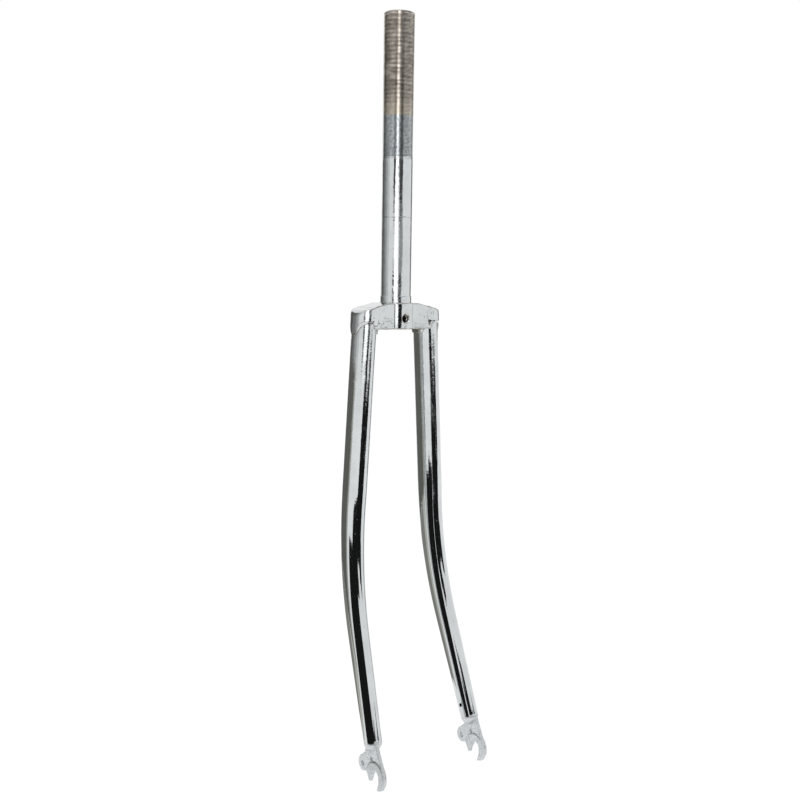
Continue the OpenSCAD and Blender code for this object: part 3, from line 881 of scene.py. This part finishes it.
def chrome_wires(paint, worked):
    """Colour, roughness and height of the plating; worked is how rough its steel is."""
    cloud = paint.noise(16, 3, 0.6)
    colour = paint.blend(paint.ramp(cloud, 0.3, 0.7), CHROME_PALE, CHROME_DEEP)
    place = paint.node("ShaderNodeTexCoord", output="Object")
    spots = paint.node("ShaderNodeTexVoronoi", {"feature": "F1"}, {
        "Vector": place, "Scale": 1 / (PIT_SPACING * MM), "Randomness": 1.0}, output="Distance")
    pit = paint.ramp(spots, 0.05, 0.13, 1.0, 0.0) * paint.ramp(paint.noise(7, 2), 0.5, 0.62)
    colour = paint.blend(pit * 0.7, colour, PIT_BROWN)
    peel = paint.noise(1.5, 3, 0.55)
    waves = paint.noise(7, 1, 0.4, squash=(1, 1, 0.35))
    height = peel * (worked * 0.085 + 0.006) + waves * (worked * 0.10 + 0.035) - pit * 0.03
    roughness = 0.035 + paint.noise(5, 3, 0.6) * 0.03 + worked * 0.03 + pit * 0.3
    return colour, roughness, height


# %% [markdown]
# Grime stays where a cloth doesn't reach: along the lower edges and in the bolt
# hole. Creases are painted dark too, as shade with some grime in it. Edges are
# rubbed instead. The bend that was kept on the mesh finds both: it is below zero
# in a crease and above it on an edge.

# %% Chrome of the crown, with its grime, wear and creases painted as shade
GRIME_TAN, RUBBED_AND_CREASE_SHADE_TAN = (0.52, 0.44, 0.34), (0.33, 0.285, 0.225)


def crown_grime(paint, y, z):
    """Grime along the lower edges of the arms and in the bolt hole."""
    low = paint.ramp(z + paint.noise(2.5, 4, 0.7) * 4, -19.8, -18.0, 1.0, 0.0)
    low = low * paint.ramp(y * y, 19 ** 2, 23 ** 2, 1.0, 0.0)
    low = low * paint.ramp(paint.noise(6, 3, 0.6), 0.38, 0.6, 0.3, 1.0)
    drop = z + BRAKE_DROP
    rim = ((BRAKE_R + 0.05) ** 2, (BRAKE_R + 0.35) ** 2)
    return low.most(paint.ramp(y * y + drop * drop, *rim, 1.0, 0.0))


def crown_finish():
    """Chrome with grime, creases painted dark as shade with grime, and rubbed edges."""
    paint = Paint("crown_chrome")
    y, z = paint.place("YZ")
    worked = paint.ramp(paint.noise(9, 2), 0.35, 0.7, 0.25, 0.8)
    colour, roughness, height = chrome_wires(paint, worked)
    bend = paint.node("ShaderNodeAttribute", {"attribute_name": "bend"}, output="Fac")
    patchy = paint.ramp(paint.noise(3, 3, 0.6), 0.36, 0.6, 0.25, 1.0)
    foot = paint.ramp(y * y, 17 ** 2, 20 ** 2).most(paint.ramp(z, -2.5, -1.0))
    # Painted shade with grime: creases darken towards a brown tan and grow duller.
    crease_shade_and_grime = paint.ramp(bend, -0.9, -0.2, 1.0, 0.0) * (foot * paint.ramp(z, 0.4, 1.0, 1.0, 0.0))
    rubbed = paint.ramp(bend, 0.35, 0.9) * paint.ramp(z, -0.8, 0.0, 1.0, 0.0)
    dull_grime_wear_and_shade = crown_grime(paint, y, z).most(crease_shade_and_grime * patchy * 0.9).most(rubbed * patchy * 0.55)
    tan = paint.blend(rubbed.most(crease_shade_and_grime), GRIME_TAN, RUBBED_AND_CREASE_SHADE_TAN)
    paint.metal(paint.blend(dull_grime_wear_and_shade * 0.85, colour, tan), roughness + dull_grime_wear_and_shade * 0.2, height)
    return paint.owner


# %% [markdown]
# ## Frosted ends
# The domes of the blades and the dropouts were never polished. The plating
# there follows the grain of the forging scale and looks like frosted silver
# with a breath of lilac. On a blade the frost starts with the dome, so one
# finish blends both along the line of the blade.

# %% Frosted plating as three wires
FROST_DEEP, FROST_PALE, FROST_SPECK = (0.44, 0.465, 0.48), (0.74, 0.77, 0.785), (0.22, 0.22, 0.24)


def frost_wires(paint):
    """Colour, roughness and height of the frosted plating."""
    mottle = paint.noise(1.1, 4, 0.7)
    colour = paint.blend(paint.ramp(mottle, 0.38, 0.62), FROST_DEEP, FROST_PALE)
    speck = paint.ramp(paint.noise(0.8, 2, 0.6, shift=0.3), 0.61, 0.72)
    colour = paint.blend(speck * 0.6, colour, FROST_SPECK)
    height = paint.noise(0.8, 4, 0.7) * 0.11 + paint.noise(3.2, 2, 0.5) * 0.15
    roughness = 0.25 + paint.noise(2.2, 3, 0.6) * 0.16 + speck * 0.15
    return colour, roughness, height


# %% Finish of the blades and of the dropouts
LILAC, RUBBED_HIGHLIGHT_SILVER, FOLD_HIGHLIGHT_SILVER = (0.67, 0.65, 0.71), (0.86, 0.87, 0.88), (0.80, 0.82, 0.835)


def blade_finish(name):
    """Chrome down to the dome and frost on it."""
    paint = Paint(name)
    x, z = paint.place("XZ")
    worked = paint.ramp(z, -215, -60, 0.05, 0.85) * paint.ramp(paint.noise(14, 2), 0.3, 0.65, 0.35, 1.0)
    colour, roughness, height = chrome_wires(paint, worked)
    up_blade = (x - RAKE) * -math.sin(TAIL) + (z + AXLE_DROP) * math.cos(TAIL)
    border = END_GAP + DOME_LENGTH
    dome = paint.ramp(up_blade + paint.noise(2, 2) * 0.8, border - 0.6, border + 1.6, 1.0, 0.0)
    frost = frost_wires(paint)
    colour = paint.blend(dome, colour, paint.blend(0.3, frost[0], LILAC))
    paint.metal(colour, roughness + dome * 0.26, height + dome * (frost[2] - height))
    return paint.owner


def dropout_finish():
    """Frost with edges painted bright as rubbed wear and highlight, and folds painted paler as highlight."""
    paint = Paint("frosted_plating")
    colour, roughness, height = frost_wires(paint)
    bend = paint.node("ShaderNodeAttribute", {"attribute_name": "bend"}, output="Fac")
    # Painted highlight: edges and folds are coloured paler silver, the edges partly as rubbed wear.
    rubbed = paint.ramp(bend, 0.7, 1.8)
    fold_highlight = paint.ramp(bend * bend, 0.03, 0.3)
    colour = paint.blend(rubbed * 0.7, colour, RUBBED_HIGHLIGHT_SILVER)
    colour = paint.blend(fold_highlight * 0.6, colour, FOLD_HIGHLIGHT_SILVER)
    paint.metal(colour, roughness + fold_highlight * 0.4 - rubbed * 0.1, height)
    return paint.owner


# %% [markdown]
# ## Threaded steel
# The thread was masked while the rest was plated, because chrome would clog it.
# The upper part is bare steel that has gone warm grey-brown under its oil. The
# lower turns took a thin grey coat that crept past the mask, and below the
# thread the tube is chrome. One finish runs down the tube and changes with
# height, with a wavy border where the bath reached.

# %% Bare steel of the upper thread
BROWN_DEEP, BROWN_PALE = (0.38, 0.345, 0.31), (0.62, 0.585, 0.545)
DIRT, STRAW, DIRT_WAVE = (0.21, 0.185, 0.16), (0.66, 0.62, 0.55), 1.85


def bare_steel(paint, z, oil):
    """Colour of the bare turns: stained by oil, dirty in bands, paler at their foot."""
    brown = paint.blend(paint.ramp(oil, 0.32, 0.68), BROWN_DEEP, BROWN_PALE)
    bands = z * DIRT_WAVE + paint.noise(8, 2) * 3
    bands = paint.node("ShaderNodeMath", {"operation": "SINE"}, {0: bands})
    dirty = paint.ramp(bands, -0.3, 0.5) * paint.ramp(paint.noise(14, 2, 0.5), 0.32, 0.52)
    brown = paint.blend(dirty * 0.4, brown, DIRT)
    return paint.blend(paint.ramp(z, 150, 176, 1.0, 0.0) * 0.8, brown, STRAW)


# %% Finish of the steerer
COAT_DEEP, COAT_PALE, MARK_GREY = (0.44, 0.46, 0.475), (0.60, 0.62, 0.63), (0.3, 0.3, 0.29)
BORE_SHADE_DEEP, BORE_SHADE_PALE = (0.05, 0.035, 0.025), (0.16, 0.11, 0.075)
COAT_TOP, MARK_LIFT = (151.5, 154.5), 70.5


def steerer_finish():
    """Chrome, grey coat and bare steel up the tube, a faint ring and a bore painted dark as shade, mottled by
    oil.
    """
    paint = Paint("steerer_steel")
    x, y, z = paint.place("XYZ")
    worked = paint.ramp(paint.noise(11, 2), 0.3, 0.65, 0.25, 0.9)
    colour, roughness, height = chrome_wires(paint, worked)
    coated = paint.ramp(z, THREAD_FOOT - 0.9, THREAD_FOOT + 0.2)
    grey = paint.blend(paint.ramp(paint.noise(2.2, 4, 0.6), 0.35, 0.65), COAT_DEEP, COAT_PALE)
    bare = paint.ramp(z + paint.noise(9, 2, 0.5) * 5 - 2.5, *COAT_TOP)
    oil = paint.noise(5, 4, 0.6, squash=(0.7, 0.7, 1.3))
    colour = paint.blend(bare, paint.blend(coated, colour, grey), bare_steel(paint, z, oil))
    roughness = roughness + coated * 0.07 + bare * 0.02 + coated * paint.noise(1.4, 3) * 0.08
    height = height * (1 - coated) + coated * paint.noise(0.7, 3, 0.6) * 0.02
    off = (z - MARK_LIFT) * (z - MARK_LIFT)
    mark = paint.ramp(off, 0.05, 0.4, 1.0, 0.0) * paint.ramp(paint.noise(3, 3, 0.6), 0.4, 0.55)
    colour = paint.blend(mark * 0.5, colour, MARK_GREY)
    # Painted shade: the bore is coloured nearly black, with oily mottling.
    inside = paint.ramp(x * x + y * y, (BORE_R + 0.2) ** 2, (BORE_R + 0.4) ** 2, 1.0, 0.0)
    colour = paint.blend(inside, colour, paint.blend(oil, BORE_SHADE_DEEP, BORE_SHADE_PALE))
    paint.metal(colour, roughness + inside * 0.4, height - mark * 0.05)
    return paint.owner


# %% Put the finishes on
finishes, frosted = {"crown": crown_finish(), "steerer": steerer_finish()}, dropout_finish()
for side in ("right", "left"):
    finishes[side + "_blade_tube"] = blade_finish(side + "_blade_chrome")
    finishes[side + "_dropout_plate"] = frosted
for name, finish in finishes.items():
    bpy.data.objects[name].data.materials.append(finish)
    print(name, "is in", finish.name)

# %% [markdown]
# ## Camera
# The photograph is taken with a normal lens from the front right of the fork, a
# little above the crown, with the camera rolled by less than a degree.

# %% Directions of the camera
LENS_PX, FRAME_PX, SENSOR = 1153.5, 800, 36
AZIMUTH, ELEVATION, ROLL = math.radians(54.27), math.radians(6.80), math.radians(0.83)
back = Vector((math.sin(AZIMUTH) * math.cos(ELEVATION), -math.cos(AZIMUTH) * math.cos(ELEVATION),
               math.sin(ELEVATION)))
level_right = Vector((math.cos(AZIMUTH), math.sin(AZIMUTH), 0))
level_up = back.cross(level_right)
right = math.cos(ROLL) * level_right + math.sin(ROLL) * level_up
up = -math.sin(ROLL) * level_right + math.cos(ROLL) * level_up

# %% Set up the camera
AIM_RIGHT, AIM_Z, DISTANCE = 4.93, -82.2, 977.4
target = (AIM_RIGHT * level_right + Vector((0, 0, AIM_Z))) * MM
place = target + back * DISTANCE * MM
data = bpy.data.cameras.new("camera")
data.sensor_width = SENSOR
data.lens = LENS_PX / FRAME_PX * SENSOR
camera = add_object("camera", data)
camera.matrix_world = Matrix.Translation(place) @ Matrix((right, up, back)).transposed().to_4x4()
bpy.context.scene.camera = camera
print("camera at", [round(v, 4) for v in place])

# %% [markdown]
# ## Studio
# Chrome shows its surroundings more than itself, so the studio is part of the
# finish. Everything round the fork is white, apart from dark cards of the kind
# photographers hang up to give polished metal its black edges, softer ones in
# grey and olive, and strips of light. Most are curved round the steerer axis,
# and two lie on the floor. They show in reflections only.

# %% Cards that only reflections see
FACING = AZIMUTH - math.pi / 2


def card(name, from_angle, to_angle, low, high, grey, tint, distance):
    """A card round the axis: angles from the camera's side, heights and distance in millimetres.

    With two distances the card leans, or lies flat if its heights are the same."""
    columns = max(2, int(abs(to_angle - from_angle) / 3))
    angles = FACING + np.radians(np.linspace(from_angle, to_angle, columns + 1))
    near, far = distance if isinstance(distance, tuple) else (distance, distance)
    rows = [(d * math.cos(a), d * math.sin(a), z) for d, z in ((near, low), (far, high)) for a in angles]
    n = columns + 1
    faces = [[i, i + 1, n + i + 1, n + i] for i in range(columns)]
    mesh = bpy.data.meshes.new(name)
    mesh.from_pydata((np.array(rows) * MM).tolist(), [], faces)
    paint = Paint(name)
    paint.node_output(paint.node("ShaderNodeEmission", {}, {"Color": (*tint, 1), "Strength": grey}))
    mesh.materials.append(paint.owner)
    piece = add_object(name, mesh)
    piece.visible_camera = piece.visible_diffuse = piece.visible_shadow = piece.visible_transmission = False


# %% Hang the cards
# Each row: name, angles from and to, heights from and to, strength, distance.
OLIVE = (1.0, 1.0, 0.9)
ON_FLOOR = cad_box[0][2] / MM + 1
CARDS = (
    ("black_card_left", -50, -25, -390, -207, 0.012, 200),
    ("black_card_front", -25, 13, -390, -191, 0.012, 200),
    ("black_card_low", 8, 57, -390, -238, 0.012, 700),
    ("black_card_low_side", 57, 74, -390, -252, 0.012, 700),
    ("black_card_high", 18, 41, -118, 0, 0.014, 1500),
    ("black_card_middle", 10, 36, -390, -118, 0.014, 1500),
    ("black_card_side", 36, 57, -390, -200, 0.012, 1500),
    ("black_card_end", 57, 80, -390, -146, 0.012, 1500),
    ("black_streak", -27, -15, -52, 14, 0.03, 700),
    ("strip_light", -14, 12, 0, 152, 1.7, 600),
    ("strip_light_low", -14, 17, -62, 0, 1.7, 600),
    ("strip_light_high", -6, 6, 150, 1400, 4.0, 600),
    ("dark_card_left", -26, -13, 108, 330, 0.05, 700),
    ("dark_card_middle", -13, 18, 150, 178, 0.15, 700),
    ("grey_card_right", 20, 48, 8, 108, 0.42, 700),
    ("dark_card_right", 18, 42, 108, 330, 0.08, 700),
    ("beige_card_top", 15, 110, 480, 1150, 0.16, 700),
    ("olive_card", -150, -78, -900, -60, 0.15, 700),
    ("olive_card_soft", -78, -67, -900, -60, 0.45, 700),
    ("olive_card_floor", -165, -95, ON_FLOOR, ON_FLOOR, 0.28, (90, 690)),
    ("olive_card_floor_soft", -95, -72, ON_FLOOR, ON_FLOOR, 0.6, (90, 690)),
    ("olive_card_high", -140, -112, -60, 420, 0.13, 700),
    ("grey_card_a", -112, -94, -60, 420, 0.25, 700),
    ("grey_card_b", -94, -76, -60, 420, 0.45, 700),
    ("grey_card_c", -76, -58, -60, 420, 0.72, 700),
    ("grey_card_d", 130, 160, -60, 420, 0.25, 700),
)
for name, start, end, low, high, grey, distance in CARDS:
    tint = OLIVE if "olive" in name or "beige" in name else (1, 1, 1)
    card(name, start, end, low, high, grey, tint, distance)
print(len(CARDS), "cards stand round the fork")

# %% [markdown]
# ## Floor and light
# The floor and the world look white to the camera and in reflections, because
# Light Path tells which kind of ray asks. What they give to the surfaces as
# light stays at a plain level, and the floor keeps the shadow of the fork.

# %% White for the camera and for reflections
def seen_directly(paint):
    """One for camera, glossy and transmission rays, and nothing for the others."""
    seen = [paint.node("ShaderNodeLightPath", output=f"Is {kind} Ray")
            for kind in ("Camera", "Glossy", "Transmission")]
    return seen[0].most(seen[1]).most(seen[2])


# %% Lay the floor
FLOOR_Z, FLOOR_HALF, FLOOR_WHITE = cad_box[0][2], 4, 0.66
square = [(x * FLOOR_HALF, y * FLOOR_HALF, FLOOR_Z) for x, y in ((-1, -1), (1, -1), (1, 1), (-1, 1))]
floor_mesh = bpy.data.meshes.new("floor")
floor_mesh.from_pydata(square, [], [[0, 1, 2, 3]])
floor = add_object("floor", floor_mesh)
paint = Paint("floor_paint")
painted = paint.node("ShaderNodeBsdfDiffuse", {}, {"Color": (0.8, 0.8, 0.8, 1)})
glow = paint.node("ShaderNodeEmission", {}, {"Strength": seen_directly(paint) * FLOOR_WHITE})
paint.node_output(paint.node("ShaderNodeAddShader", {}, {0: painted, 1: glow}))
floor_mesh.materials.append(paint.owner)
print(f"the floor lies {-FLOOR_Z / MM:.1f} mm under the shoulder of the crown")

# %% Light from all round
WORLD_LIGHT = 0.5
world = bpy.data.worlds.new("studio")
paint = Paint("studio", world)
light = paint.node("ShaderNodeBackground", {}, {
    "Color": (1, 1, 1, 1), "Strength": seen_directly(paint) * (1 - WORLD_LIGHT) + WORLD_LIGHT})
paint.node_output(light, "ShaderNodeOutputWorld")
bpy.context.scene.world = world
bpy.context.scene.view_settings.view_transform = "Standard"
